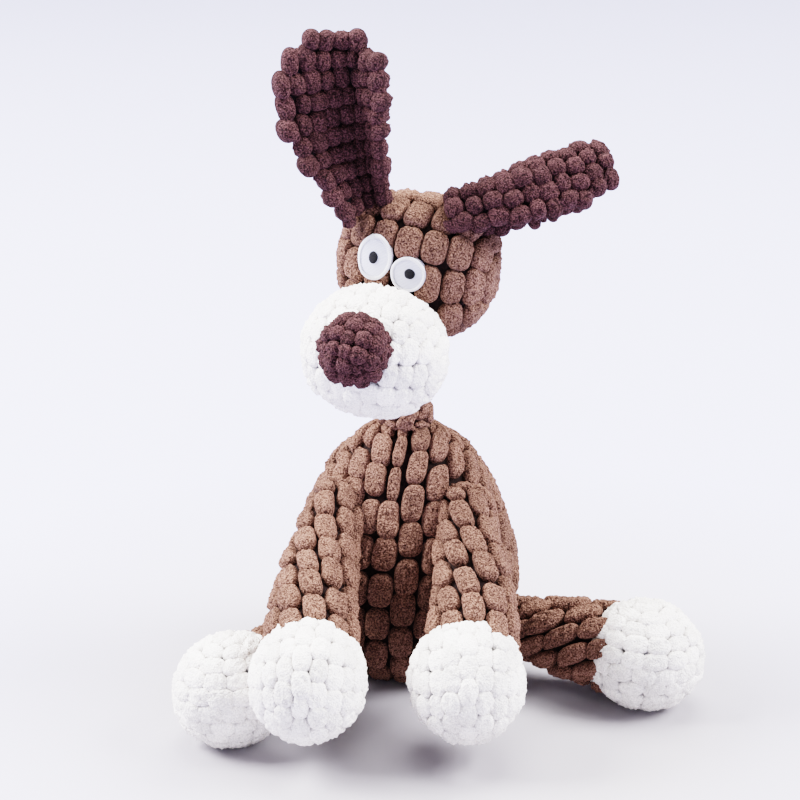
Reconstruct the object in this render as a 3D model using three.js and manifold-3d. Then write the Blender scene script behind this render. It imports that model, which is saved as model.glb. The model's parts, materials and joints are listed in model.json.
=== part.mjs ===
// A stuffed, squeaking plush puppy that sits on its seat and hind paws.
// Millimetres, +Z up. The toy faces -Y and its own left is +X.
import * as THREE from 'three';
import { mergeVertices } from 'three/addons/utils/BufferGeometryUtils.js';
import Module from 'manifold-3d';

const wasm = await Module();
wasm.setup();

// Cloth, seams and clearances
const skinWall = 2.4;
const fitGap = 0.3;
const seatFlat = 0.5;
const cutOverrun = 5;
const roundSquareness = 2;

// Torso: a bell, measured from the surface that it sits on
const torsoHeight = 85;
const torsoRadius = 37.8;
const torsoDepthShare = 0.94;
const torsoProfileShares = [
  [0, 0], [0, 0.45], [0.018, 0.65], [0.08, 0.83], [0.19, 0.95], [0.36, 1], [0.5, 0.97],
  [0.618, 0.873], [0.758, 0.733], [0.85, 0.62], [0.92, 0.47], [0.982, 0.32], [1, 0.2], [1, 0],
];
const torsoSides = 20;

// Squeaker in the middle of the torso
const squeakerHeight = 40;
const squeakerRadius = 16;
const squeakerWall = 1.1;
const squeakerCupDepth = 12;
const squeakerTravel = 4;
const squeakerSides = 24;
const reedTubeRadius = 4;
const reedTubeBore = 2.8;
const reedTubeLength = 10;
const reedFlangeRadius = 6;
const reedFlangeThickness = 1.2;
const reedShelfLength = 6;
const reedThickness = 0.4;
const reedWidth = 3.6;
const reedLength = 5.4;
const tubeSides = 16;

// Neck: a narrow sleeve with a rounded end that sits in the head
const neckRadius = 7.6;
const neckBallRadius = 9.2;
const neckWaistShare = 0.92;
const neckOpeningRadius = 4;
const neckLength = 36.7;
const neckLean = 3;
const neckRoom = 0.9;
const neckSides = 10;

// Head: a rounded pillow, turned and tilted as it sits on the neck
const headHalfWidth = 26.2;
const headHalfDepth = 21;
const headHalfHeight = 22.4;
const headSquareness = 2.5;
const headSeat = 4.4;
const headShift = -1.6;
const headYaw = -11;
const headRoll = 9;
const headNodRange = [-18, 20];
const headSides = 16;
const headSteps = 8;

// Muzzle, sunk in the front of the head, and nose, sunk in the front of the muzzle
const muzzleHalfWidth = 23.4;
const muzzleHalfDepth = 21.5;
const muzzleHalfHeight = 20.4;
const muzzleSquareness = 2.1;
const muzzleSink = 9.6;
const muzzleShift = -1.5;
const muzzleDrop = 21.6;
const muzzleSides = 12;
const muzzleSteps = 8;
const noseRadius = 11.4;
const noseSink = 12.4;
const noseShift = -1;
const noseLift = 6.2;
const noseSides = 10;
const noseSteps = 6;

// Eyes: flat sewn patches, each with a pupil; the right one is the larger
const eyePatchThickness = 1;
const pupilThickness = 0.8;
const eyeSides = 20;
const eyeGap = 0.1;
const eyeStep = 2.6;
const rightEyeShares = [-0.378, 0.205];
const eyes = {
  left: { half: [5.8, 5.8], pupilShares: [0.1, 0.07], pupilHalf: [1.9, 1.9] },
  right: { half: [6.2, 7.6], pupilShares: [-0.03, 0.01], pupilHalf: [1.7, 2.1] },
};

// Ears: two leaves each, folded along a crease that runs from the base to the tip. The seat is in
// shares of the head's half sizes, the route from there in shares of the ear's length.
const earLength = 58;
const earLeafThickness = 2.4;
const earHalfWidth = 21;
const earWidthShares = [0.42, 0.6, 0.78, 0.92, 1, 0.98, 0.84, 0.5];
const earRoot = 5;
const earCrease = 4.5;
const earStepsAcross = 8;
const ears = {
  right: {
    seatShares: [-0.58, -0.34, 0.84],
    routeShares: [
      [0, 0, 0], [-0.075, -0.02, 0.215], [-0.165, -0.035, 0.475], [-0.22, -0.05, 0.71], [-0.25, -0.05, 0.92],
    ],
    creaseShare: 0.3,
    opens: [-0.02, -1, 0],
    fold: [76, 26],
    hinge: [1, 0, 0],
    range: [-20, 30],
  },
  left: {
    seatShares: [0.31, -0.36, 1.1],
    routeShares: [
      [0, 0, 0], [0.2, 0.08, 0.13], [0.4, 0.2, 0.26], [0.57, 0.34, 0.33], [0.71, 0.47, 0.37],
    ],
    creaseShare: -0.1,
    opens: [0.32, -0.1, -0.94],
    fold: [80, 72],
    hinge: [0, 1, 0],
    range: [-25, 25],
  },
};

// Legs: sleeves that swell from a ball at the root to the cuff, each with a ball of a paw
const legRootRadius = 9.8;
const legProfileShares = [[0.2, 1.08], [0.45, 1.27], [0.7, 1.45], [0.9, 1.5]];
const legSides = 10;
const ballSides = 14;
const sweptRoom = 1;
const rootRoom = 1.2;
const pawRadius = 17.9;
const pawStretchShare = 1.1;
const pawSides = 12;
const pawSteps = 6;
const shoulderHeight = 61;
const hipHeight = 19;
const rootStandOff = 0.7;
const frontBow = 2;
const frontPawLift = 9;
const pawGap = 1;
const pawRest = pawRadius - seatFlat;

// Headings are degrees about the torso, with the left side at 0 and the front at -90. The front right
// paw lies beside the hind right one, in a direction given by its shares.
const legs = {
  front_left: {
    side: 1, rootHeight: shoulderHeight, rootHeading: -43.7, bow: frontBow,
    heading: -84.7, length: 64.3, pawHeight: pawRest + frontPawLift,
    axis: [-1, 0, 0], range: [0, 60],
  },
  front_right: {
    side: -1, rootHeight: shoulderHeight, rootHeading: -136.3, bow: frontBow,
    beside: 'hind_right', besideShares: [0.745, -0.557, 0.37],
    axis: [-1, 0, 0], range: [0, 55],
  },
  hind_left: {
    side: 1, rootHeight: hipHeight, rootHeading: -19.6, bow: 0,
    heading: -19.6, length: 49.3, pawHeight: pawRest,
    axis: [0, 0, 1], range: [-25, 20],
  },
  hind_right: {
    side: -1, rootHeight: hipHeight, rootHeading: -124.9, bow: 0,
    heading: -124.9, length: 47.4, pawHeight: pawRest,
    axis: [0, 0, -1], range: [0, 45],
  },
};

// How finely the clearance of a moving piece is swept, in degrees
const sweepStep = 15;

// Colours of the cloth, the filling and the squeaker
const looks = {
  lightBrown: new THREE.MeshStandardMaterial({ color: 0x8f6450, roughness: 0.95, metalness: 0 }),
  darkBrown: new THREE.MeshStandardMaterial({ color: 0x4b2e2c, roughness: 0.95, metalness: 0 }),
  white: new THREE.MeshStandardMaterial({ color: 0xf1eeea, roughness: 0.95, metalness: 0 }),
  eyeWhite: new THREE.MeshStandardMaterial({ color: 0xe6e6f2, roughness: 0.6, metalness: 0 }),
  black: new THREE.MeshStandardMaterial({ color: 0x15151a, roughness: 0.6, metalness: 0 }),
  fibre: new THREE.MeshStandardMaterial({ color: 0xf6f6f4, roughness: 1, metalness: 0 }),
  squeaker: new THREE.MeshStandardMaterial({ color: 0xe9ecef, roughness: 0.4, metalness: 0 }),
  reed: new THREE.MeshStandardMaterial({ color: 0xc9d4e2, roughness: 0.3, metalness: 0 }),
};

// Closed surface over rings of points, with a pole at each end
function skinOver(rings, firstPole, lastPole) {
  const sides = rings[0].length;
  const points = [firstPole, ...rings.flat(), lastPole];
  const last = points.length - 1;
  const faces = [];
  for (let i = 0; i < sides; i += 1) {
    const next = (i + 1) % sides;
    faces.push(0, 1 + next, 1 + i);
    for (let k = 0; k + 1 < rings.length; k += 1) {
      const low = 1 + k * sides;
      const high = low + sides;
      faces.push(low + i, low + next, high + next, low + i, high + next, high + i);
    }
    faces.push(last, last - sides + i, last - sides + next);
  }
  const geometry = new THREE.BufferGeometry();
  geometry.setAttribute('position', new THREE.Float32BufferAttribute(points.flat(), 3));
  geometry.setIndex(faces);
  return geometry;
}

// Closed sheet between two grids of points, rows by columns
function sheetBetween(lower, upper) {
  const rows = lower.length;
  const columns = lower[0].length;
  const points = [...lower.flat(), ...upper.flat()];
  const at = (k, i, layer) => layer * rows * columns + k * columns + i;
  const faces = [];
  const quad = (a, b, c, d) => faces.push(a, c, b, a, d, c);
  for (let k = 0; k + 1 < rows; k += 1) {
    for (let i = 0; i + 1 < columns; i += 1) {
      quad(at(k, i, 1), at(k, i + 1, 1), at(k + 1, i + 1, 1), at(k + 1, i, 1));
      quad(at(k, i, 0), at(k + 1, i, 0), at(k + 1, i + 1, 0), at(k, i + 1, 0));
    }
    quad(at(k, 0, 0), at(k, 0, 1), at(k + 1, 0, 1), at(k + 1, 0, 0));
    quad(at(k, columns - 1, 0), at(k + 1, columns - 1, 0), at(k + 1, columns - 1, 1), at(k, columns - 1, 1));
  }
  for (let i = 0; i + 1 < columns; i += 1) {
    quad(at(0, i, 0), at(0, i + 1, 0), at(0, i + 1, 1), at(0, i, 1));
    quad(at(rows - 1, i, 0), at(rows - 1, i, 1), at(rows - 1, i + 1, 1), at(rows - 1, i + 1, 0));
  }
  const geometry = new THREE.BufferGeometry();
  geometry.setAttribute('position', new THREE.Float32BufferAttribute(points.flat(), 3));
  geometry.setIndex(faces);
  return geometry;
}

// Closed geometry as a solid that can be joined and cut
function solidOf(geometry) {
  const bare = geometry.clone();
  bare.deleteAttribute('normal');
  bare.deleteAttribute('uv');
  const merged = mergeVertices(bare);
  return new wasm.Manifold(new wasm.Mesh({
    numProp: 3,
    vertProperties: new Float32Array(merged.attributes.position.array),
    triVerts: new Uint32Array(merged.index.array),
  }));
}

function geometryOf(solid) {
  const { vertProperties, triVerts } = solid.getMesh();
  const geometry = new THREE.BufferGeometry();
  geometry.setAttribute('position', new THREE.Float32BufferAttribute(vertProperties, 3));
  geometry.setIndex(new THREE.BufferAttribute(new Uint32Array(triVerts), 1));
  geometry.computeVertexNormals();
  return geometry;
}

// Form that swells and tapers along +Z; profile points are [height, radius]
function swell(profile, { sides, wide = 1, deep = 1, bow = () => 0 }) {
  const rings = profile.slice(1, -1).map(([height, radius]) => {
    const ring = [];
    for (let i = 0; i < sides; i += 1) {
      const turn = (2 * Math.PI * i) / sides;
      ring.push([radius * wide * Math.cos(turn) + bow(height), radius * deep * Math.sin(turn), height]);
    }
    return ring;
  });
  const low = profile[0][0];
  const high = profile.at(-1)[0];
  return solidOf(skinOver(rings, [bow(low), 0, low], [bow(high), 0, high]));
}

// Profile moved inwards by a wall, square to its own line
function inset(profile, wall) {
  return profile.map(([height, radius], i) => {
    if (i === 0) return [height + wall, 0];
    if (i === profile.length - 1) return [height - wall, 0];
    const [lowHeight, lowRadius] = profile[i - 1];
    const [highHeight, highRadius] = profile[i + 1];
    const run = Math.hypot(highHeight - lowHeight, highRadius - lowRadius);
    const outward = (highHeight - lowHeight) / run;
    const upward = -(highRadius - lowRadius) / run;
    return [height - wall * upward, radius - wall * outward];
  });
}

// Rounded pillow: an ellipsoid whose corners are filled out by its squareness
function pillow([halfWidth, halfDepth, halfHeight], squareness, sides, steps) {
  const power = 2 / squareness;
  const bulge = (value) => Math.sign(value) * Math.abs(value) ** power;
  const rings = [];
  for (let k = 1; k < steps; k += 1) {
    const rise = Math.PI * (k / steps - 1 / 2);
    const ring = [];
    for (let i = 0; i < sides; i += 1) {
      const turn = (2 * Math.PI * i) / sides;
      const reach = bulge(Math.cos(rise));
      ring.push([
        halfWidth * reach * bulge(Math.cos(turn)),
        halfDepth * reach * bulge(Math.sin(turn)),
        halfHeight * bulge(Math.sin(rise)),
      ]);
    }
    rings.push(ring);
  }
  return solidOf(skinOver(rings, [0, 0, -halfHeight], [0, 0, halfHeight]));
}

function box(lowCorner, highCorner) {
  const size = highCorner.map((value, i) => value - lowCorner[i]);
  const middle = highCorner.map((value, i) => (value + lowCorner[i]) / 2);
  return solidOf(new THREE.BoxGeometry(...size)).translate(middle);
}

function rod(radius, low, high, sides) {
  const upright = new THREE.CylinderGeometry(radius, radius, high - low, sides).rotateX(Math.PI / 2);
  return solidOf(upright).translate([0, 0, (low + high) / 2]);
}

function ball(radius) {
  return solidOf(new THREE.SphereGeometry(radius, ballSides, ballSides / 2));
}

// Piece cut clear of its neighbour at every pose that a hinge on the pivot reaches
function clearOf(solid, neighbour, { place, pivot, axis, range }) {
  const anglesTo = (limit) => {
    const steps = Math.ceil(Math.abs(limit) / sweepStep);
    return Array.from({ length: steps }, (_, i) => (limit * (i + 1)) / steps);
  };
  const toPivot = new THREE.Matrix4().makeTranslation(...pivot);
  const fromPivot = toPivot.clone().invert();
  return [0, ...range.flatMap(anglesTo)].reduce((cleared, angle) => {
    const turn = new THREE.Matrix4().makeRotationAxis(axis, THREE.MathUtils.degToRad(angle));
    const pose = toPivot.clone().multiply(turn).multiply(fromPivot).multiply(place);
    return cleared.subtract(neighbour.transform(pose.invert().toArray()));
  }, solid);
}

function mesh(name, solid, material) {
  const piece = new THREE.Mesh(geometryOf(solid), material);
  piece.name = name;
  return piece;
}

// Torso shapes that several pieces share
const torsoProfile = torsoProfileShares.map(([rise, reach], i) => [
  i < 2 ? -seatFlat : rise * torsoHeight,
  reach * torsoRadius,
]);

function torsoForm(wall) {
  return swell(inset(torsoProfile, wall), { sides: torsoSides, deep: torsoDepthShare });
}

const farOut = torsoHeight + torsoRadius;
const floor = box([-farOut, -farOut, -cutOverrun], [farOut, farOut, 0]);

// Radius of the torso's side at a height
function torsoRadiusAt(height) {
  const above = torsoProfile.findIndex(([level]) => level > height);
  const [lowHeight, lowRadius] = torsoProfile[above - 1];
  const [highHeight, highRadius] = torsoProfile[above];
  return lowRadius + ((highRadius - lowRadius) * (height - lowHeight)) / (highHeight - lowHeight);
}

function headed(degrees, reach, height) {
  const turn = THREE.MathUtils.degToRad(degrees);
  return new THREE.Vector3(reach * Math.cos(turn), reach * Math.sin(turn), height);
}

function legPivot({ rootHeading, rootHeight }) {
  return headed(rootHeading, torsoRadiusAt(rootHeight) + rootStandOff, rootHeight);
}

function pawPlace(leg) {
  if (leg.beside) {
    const neighbour = pawPlace(legs[leg.beside]);
    return neighbour.addScaledVector(new THREE.Vector3(...leg.besideShares), 2 * pawRadius + pawGap);
  }
  const pivot = legPivot(leg);
  const drop = pivot.z - leg.pawHeight;
  return pivot.add(headed(leg.heading, Math.sqrt(leg.length ** 2 - drop ** 2), -drop));
}

// Balls of room round the roots of the legs
function sockets(room) {
  return Object.values(legs)
    .map((leg) => ball(legRootRadius + room).translate(legPivot(leg).toArray()))
    .reduce((joined, socket) => joined.add(socket));
}

// Two sewn panels, the filling and the squeaker in its pocket
function makeTorso() {
  const group = new THREE.Group();
  const opening = rod(neckOpeningRadius, torsoHeight - 2 * skinWall, torsoHeight + cutOverrun, neckSides);
  const roots = sockets(rootRoom);
  const shell = torsoForm(0).subtract(torsoForm(skinWall)).subtract(floor).subtract(roots).subtract(opening);
  const halfGap = fitGap / 2;
  const leftSide = box([halfGap, -farOut, -cutOverrun], [farOut, farOut, farOut]);
  const rightSide = box([-farOut, -farOut, -cutOverrun], [-halfGap, farOut, farOut]);
  const pocketRadius = squeakerRadius + fitGap;
  const pocketLow = squeakerHeight - squeakerCupDepth - reedTubeLength + squeakerWall - fitGap;
  const pocketHigh = squeakerHeight + squeakerTravel + fitGap;
  const pocket = rod(pocketRadius, pocketLow, pocketHigh, squeakerSides);
  const slit = box([-pocketRadius / 2, 0, pocketLow], [pocketRadius / 2, farOut, pocketHigh]);
  const filling = torsoForm(skinWall + fitGap).subtract(roots).subtract(pocket).subtract(slit);
  group.add(
    mesh('torso_left_panel', shell.intersect(leftSide), looks.lightBrown),
    mesh('torso_right_panel', shell.intersect(rightSide), looks.lightBrown),
    mesh('torso_stuffing', filling, looks.fibre),
  );
  return group;
}

function turned(profile, sides) {
  const points = profile.map(([radius, height]) => new THREE.Vector2(radius, height));
  return solidOf(new THREE.LatheGeometry(points, sides).rotateX(Math.PI / 2));
}

// Bellows in two halves, with the reed in a tube in the lower one
function makeSqueaker() {
  const group = new THREE.Group();
  group.position.z = squeakerHeight;
  const low = -squeakerCupDepth;
  const mouth = reedTubeRadius + fitGap;
  const cup = turned([
    [mouth, low], [squeakerRadius, low], [squeakerRadius, 0], [squeakerRadius - squeakerWall, 0],
    [squeakerRadius - squeakerWall, low + squeakerWall], [mouth, low + squeakerWall], [mouth, low],
  ], squeakerSides);
  const skirtRadius = squeakerRadius - squeakerWall - fitGap;
  const capTop = squeakerTravel;
  const skirtEnd = low + squeakerWall + fitGap + squeakerTravel;
  const cap = turned([
    [0, capTop - squeakerWall], [skirtRadius - squeakerWall, capTop - squeakerWall],
    [skirtRadius - squeakerWall, skirtEnd], [skirtRadius, skirtEnd],
    [skirtRadius, capTop], [0, capTop],
  ], squeakerSides);
  const flangeLow = low + squeakerWall + fitGap;
  const tubeTop = flangeLow + reedFlangeThickness;
  const tubeLow = tubeTop - reedTubeLength;
  const tube = turned([
    [reedTubeBore, tubeLow], [reedTubeRadius, tubeLow], [reedTubeRadius, flangeLow],
    [reedFlangeRadius, flangeLow], [reedFlangeRadius, tubeTop], [reedTubeBore, tubeTop],
    [reedTubeBore, tubeLow],
  ], tubeSides);
  const shelfTop = tubeLow + reedShelfLength;
  const shelfHalf = box([-reedTubeRadius, 0, tubeLow], [reedTubeRadius, reedTubeRadius, shelfTop]);
  const shelf = rod((reedTubeBore + reedTubeRadius) / 2, tubeLow, shelfTop, tubeSides);
  const reedLow = tubeLow + (reedShelfLength - reedLength) / 2;
  const reed = box(
    [-reedWidth / 2, -fitGap - reedThickness, reedLow],
    [reedWidth / 2, -fitGap, reedLow + reedLength],
  );
  group.add(
    mesh('squeaker_cup', cup, looks.squeaker),
    mesh('squeaker_cap', cap, looks.squeaker),
    mesh('squeaker_reed_tube', tube.add(shelf.intersect(shelfHalf)), looks.squeaker),
    mesh('squeaker_reed', reed, looks.reed),
  );
  return group;
}

// Neck from the torso's top to a rounded end inside the head
const neckLow = torsoHeight + fitGap;
const headPivot = [neckLean, 0, neckLow + neckLength];

function neckForm(wall) {
  const waist = neckRadius * neckWaistShare;
  const shoulder = neckBallRadius * Math.cos(Math.PI / 6);
  const profile = [
    [0, 0], [0, neckRadius], [neckLength / 4, waist], [neckLength / 2, waist],
    [neckLength - neckBallRadius, neckRadius], [neckLength - neckBallRadius / 2, shoulder],
    [neckLength, neckBallRadius], [neckLength + neckBallRadius / 2, shoulder],
    [neckLength + neckBallRadius, 0],
  ];
  const bow = (height) => (neckLean * Math.min(height, neckLength)) / neckLength;
  const thinned = profile.map(([height, radius], i) => [
    i === profile.length - 1 ? height - wall : height,
    Math.max(radius - wall, 0),
  ]);
  return swell(thinned, { sides: neckSides, bow });
}

function makeNeck() {
  const group = new THREE.Group();
  group.position.z = neckLow;
  const mouth = rod(neckOpeningRadius, -cutOverrun, cutOverrun, neckSides);
  const sleeve = neckForm(0).subtract(neckForm(skinWall)).subtract(mouth);
  group.add(
    mesh('neck_sleeve', sleeve, looks.lightBrown),
    mesh('neck_stuffing', neckForm(skinWall + fitGap), looks.fibre),
  );
  return group;
}

// Head frame: its origin is the nod pivot, its middle is above that
const headGroup = new THREE.Group();
headGroup.position.set(...headPivot);
headGroup.rotation.set(0, THREE.MathUtils.degToRad(headRoll), THREE.MathUtils.degToRad(headYaw), 'ZYX');
headGroup.updateMatrixWorld(true);
const headMiddle = [headShift, 0, headHalfHeight - headSeat];
const fromHeadMiddle = (place) => place.map((value, i) => value + headMiddle[i]);

const muzzlePlace = [muzzleShift, muzzleSink - headHalfDepth - muzzleHalfDepth, -muzzleDrop];
const nosePlace = [
  muzzlePlace[0] + noseShift,
  muzzlePlace[1] + noseSink - muzzleHalfDepth - noseRadius,
  muzzlePlace[2] + noseLift,
];

function headForm(wall) {
  const half = [headHalfWidth, headHalfDepth, headHalfHeight].map((value) => value - wall);
  return pillow(half, headSquareness, headSides, headSteps).translate(headMiddle);
}

function muzzleForm(wall) {
  const half = [muzzleHalfWidth, muzzleHalfDepth, muzzleHalfHeight].map((value) => value - wall);
  return pillow(half, muzzleSquareness, muzzleSides, muzzleSteps).translate(fromHeadMiddle(muzzlePlace));
}

function noseForm(wall) {
  const half = [noseRadius, noseRadius, noseRadius].map((value) => value - wall);
  return pillow(half, roundSquareness, noseSides, noseSteps).translate(fromHeadMiddle(nosePlace));
}

// Room that the neck needs in the head while the head nods on it
function clearOfNeck(solid) {
  const stem = rod(neckRadius + neckRoom, -neckLength, 0, neckSides).translate(headPivot);
  const axis = new THREE.Vector3(1, 0, 0).applyQuaternion(headGroup.quaternion);
  const swept = { place: headGroup.matrixWorld, pivot: headPivot, axis, range: headNodRange };
  return clearOf(solid.subtract(ball(neckBallRadius + neckRoom)), stem, swept);
}

// The right eye is placed on the head, and the left one beside it, a step lower
function eyePlace(side) {
  const across = rightEyeShares[0] * headHalfWidth;
  const up = rightEyeShares[1] * headHalfHeight;
  const apart = eyes.left.half[0] + eyes.right.half[0] + eyeGap;
  return side === 'right' ? [across, up] : [across + apart, up - eyeStep];
}

function makeEye(side) {
  const { half, pupilShares, pupilHalf } = eyes[side];
  const place = eyePlace(side);
  const pupilPlace = place.map((value, i) => value + pupilShares[i] * half[i]);
  const front = -headHalfDepth - cutOverrun;
  const disc = ([halfWide, halfTall], [across, up]) => {
    const round = new THREE.CylinderGeometry(1, 1, -front, eyeSides);
    return solidOf(round.scale(halfWide, 1, halfTall)).translate(fromHeadMiddle([across, front / 2, up]));
  };
  const patchLow = fitGap;
  const patchHigh = patchLow + eyePatchThickness;
  const pupilLow = patchHigh + fitGap;
  const pupilHigh = pupilLow + pupilThickness;
  const layer = (outline, low, high) => outline.intersect(headForm(-high)).subtract(headForm(-low));
  const patch = layer(disc(half, place), patchLow, patchHigh).subtract(muzzleForm(-fitGap));
  return [
    mesh(`eye_patch_${side}`, patch, looks.eyeWhite),
    mesh(`pupil_${side}`, layer(disc(pupilHalf, pupilPlace), pupilLow, pupilHigh), looks.black),
  ];
}

function makeHead() {
  const shell = clearOfNeck(headForm(0).subtract(headForm(skinWall)));
  const halfGap = fitGap / 2;
  const reach = 2 * headHalfWidth;
  const front = box([-reach, -reach, -reach], [reach, -halfGap, 2 * reach]);
  const back = box([-reach, halfGap, -reach], [reach, reach, 2 * reach]);
  const headRoom = headForm(-fitGap);
  const muzzleShell = muzzleForm(0).subtract(muzzleForm(skinWall)).subtract(headRoom);
  const muzzleFilling = muzzleForm(skinWall + fitGap).subtract(headRoom);
  const noseShell = noseForm(0).subtract(noseForm(skinWall)).subtract(muzzleForm(-fitGap));
  const noseFilling = noseForm(skinWall + fitGap).subtract(muzzleForm(-fitGap));
  headGroup.add(
    mesh('head_front_panel', shell.intersect(front), looks.lightBrown),
    mesh('head_back_panel', shell.intersect(back), looks.lightBrown),
    mesh('head_stuffing', clearOfNeck(headForm(skinWall + fitGap)), looks.fibre),
    mesh('muzzle_skin', clearOfNeck(muzzleShell), looks.white),
    mesh('muzzle_stuffing', clearOfNeck(muzzleFilling), looks.fibre),
    mesh('nose_skin', noseShell, looks.darkBrown),
    mesh('nose_stuffing', noseFilling, looks.fibre),
    ...makeEye('left'),
    ...makeEye('right'),
    makeEar('left'),
    makeEar('right'),
  );
  return headGroup;
}

// Point of a folded section, walked out from the crease: [across, towards the opening]
function foldedPoint(arc, fold) {
  const steps = 12;
  const stride = Math.abs(arc) / steps;
  let across = 0;
  let inward = 0;
  for (let i = 0; i < steps; i += 1) {
    const lean = fold * Math.tanh(((i + 1 / 2) * stride) / earCrease);
    across += stride * Math.cos(lean);
    inward += stride * Math.sin(lean);
  }
  return [Math.sign(arc) * across, inward];
}

// One leaf of an ear, between two offsets from the seam between the leaves
function earLeaf({ routeShares, creaseShare, opens, fold }, from, to) {
  const route = routeShares.map((point) => new THREE.Vector3(...point).multiplyScalar(earLength));
  const curve = new THREE.CatmullRomCurve3(route);
  const open = new THREE.Vector3(...opens).normalize();
  const rows = earWidthShares.length - 1;
  const widths = earWidthShares.map((share) => share * earHalfWidth);
  const grid = (offset) => widths.map((halfWidth, k) => {
    const along = k / rows;
    const tangent = curve.getTangentAt(along);
    const across = new THREE.Vector3().crossVectors(open, tangent).normalize();
    const inward = new THREE.Vector3().crossVectors(tangent, across).normalize();
    const middle = curve.getPointAt(along).addScaledVector(tangent, k === 0 ? -earRoot : 0);
    const bend = THREE.MathUtils.degToRad(fold[0] + (fold[1] - fold[0]) * along);
    return Array.from({ length: earStepsAcross + 1 }, (_, i) => {
      const arc = halfWidth * ((2 * i) / earStepsAcross - 1 + creaseShare);
      const [x, y] = foldedPoint(arc, bend);
      const lean = bend * Math.tanh(arc / earCrease);
      return middle.clone()
        .addScaledVector(across, x - offset * Math.sin(lean))
        .addScaledVector(inward, y + offset * Math.cos(lean))
        .toArray();
    });
  });
  return solidOf(sheetBetween(grid(from), grid(to)));
}

function makeEar(side) {
  const ear = ears[side];
  const group = new THREE.Group();
  const half = [headHalfWidth, headHalfDepth, headHalfHeight];
  group.position.set(...fromHeadMiddle(ear.seatShares.map((share, i) => share * half[i])));
  group.updateMatrix();
  const halfGap = fitGap / 2;
  const clear = (solid) => clearOf(solid, headForm(-fitGap), {
    place: group.matrix,
    pivot: group.position.toArray(),
    axis: new THREE.Vector3(...ear.hinge),
    range: ear.range,
  });
  group.add(
    mesh(`ear_${side}_inner`, clear(earLeaf(ear, halfGap, halfGap + earLeafThickness)), looks.darkBrown),
    mesh(`ear_${side}_outer`, clear(earLeaf(ear, -halfGap - earLeafThickness, -halfGap)), looks.darkBrown),
  );
  return group;
}

// Leg along its own +Z from the root's ball to the paw's middle
function legForm(length, bow, wall) {
  const cap = legRootRadius / 2;
  const capReach = legRootRadius * Math.cos(Math.PI / 6);
  const profile = [
    [-legRootRadius, 0], [-capReach, cap], [-cap, capReach], [0, legRootRadius],
    ...legProfileShares.map(([along, reach]) => [along * length, reach * legRootRadius]),
    [length, 0],
  ];
  const thinned = profile.map(([height, radius], i) => [
    i < 3 ? height + wall : height,
    Math.max(radius - wall, 0),
  ]);
  const sway = (height) => bow * Math.sin((Math.PI * Math.min(Math.max(height, 0), length)) / length);
  return swell(thinned, { sides: legSides, bow: sway });
}

function pawForm(length, wall) {
  const half = [pawRadius - wall, pawRadius - wall, pawRadius * pawStretchShare - wall];
  return pillow(half, roundSquareness, pawSides, pawSteps).translate([0, 0, length]);
}

function makeLeg(name, leg) {
  const pivot = legPivot(leg);
  const reach = pawPlace(leg).sub(pivot);
  const length = reach.length();
  const along = reach.clone().normalize();
  const level = new THREE.Vector3(0, 0, 1).cross(along).normalize();
  const outward = new THREE.Vector3(leg.side, 0, 0).projectOnPlane(along).normalize();
  const across = leg.bow ? outward : level;
  const group = new THREE.Group();
  group.position.copy(pivot);
  const basis = new THREE.Matrix4().makeBasis(across, along.clone().cross(across), along);
  group.quaternion.setFromRotationMatrix(basis);
  group.updateMatrix();
  const range = leg.range;
  const axis = new THREE.Vector3(...leg.axis);
  const torsoRoom = torsoForm(-sweptRoom).subtract(sockets(rootRoom / 2));
  const clear = (solid) => clearOf(solid, torsoRoom, {
    place: group.matrix, pivot: pivot.toArray(), axis, range,
  });
  const ground = floor.transform(group.matrix.clone().invert().toArray());
  const bow = leg.bow;
  const cuff = legForm(length, bow, skinWall);
  const sleeve = legForm(length, bow, 0).subtract(cuff).subtract(pawForm(length, -fitGap));
  const filling = legForm(length, bow, skinWall + fitGap).subtract(pawForm(length, skinWall));
  const pawSkin = pawForm(length, 0).subtract(pawForm(length, skinWall)).subtract(cuff);
  group.add(
    mesh(`${name}_sleeve`, clear(sleeve), looks.lightBrown),
    mesh(`${name}_stuffing`, clear(filling), looks.fibre),
    mesh(`${name}_paw_skin`, pawSkin.subtract(ground), looks.white),
    mesh(`${name}_paw_stuffing`, pawForm(length, skinWall + fitGap), looks.fibre),
  );
  return group;
}

// Whole toy, with its origin under the middle of its box
const toy = new THREE.Group();
toy.add(makeTorso(), makeSqueaker(), makeNeck(), makeHead());
for (const [name, leg] of Object.entries(legs)) {
  toy.add(makeLeg(name, leg));
}
const whole = new THREE.Box3().setFromObject(toy, true);
toy.position.set(-(whole.min.x + whole.max.x) / 2, -(whole.min.y + whole.max.y) / 2, -whole.min.z);

export default toy;
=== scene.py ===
"""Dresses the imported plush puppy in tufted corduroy, and sets the photograph's camera and light."""

import json
import math

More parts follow.
